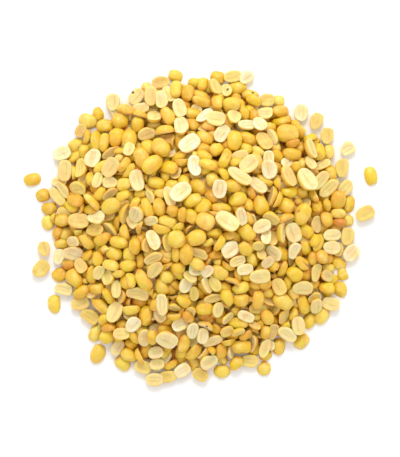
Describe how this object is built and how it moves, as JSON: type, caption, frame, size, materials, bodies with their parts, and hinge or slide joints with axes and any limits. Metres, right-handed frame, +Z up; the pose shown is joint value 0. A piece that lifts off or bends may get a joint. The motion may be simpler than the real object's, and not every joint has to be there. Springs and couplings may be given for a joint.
{
  "type": "heap of dry split yellow lentils",
  "caption": "Low loose heap of dry split yellow lentils on a bare surface, with single grains lying apart around its edge.",
  "frame": {"origin": "on the floor, below the middle of the heap and the grains around it", "axes": "+Z up from the floor; +X is the right of the picture and +Y its top, as seen from above"},
  "size_m": [0.0956, 0.0853, 0.015],
  "materials": {
    "lentil": "smooth, dull and slightly waxy"
  },
  "bodies": {
    "root": {"lentil_heap": "lentil", "stray_grain_1": "lentil", "stray_grain_2": "lentil", "stray_grain_3": "lentil", "stray_grain_4": "lentil", "stray_grain_5": "lentil", "stray_grain_6": "lentil", "stray_grain_7": "lentil", "stray_grain_8": "lentil", "stray_grain_9": "lentil"}
  },
  "joints": []
}
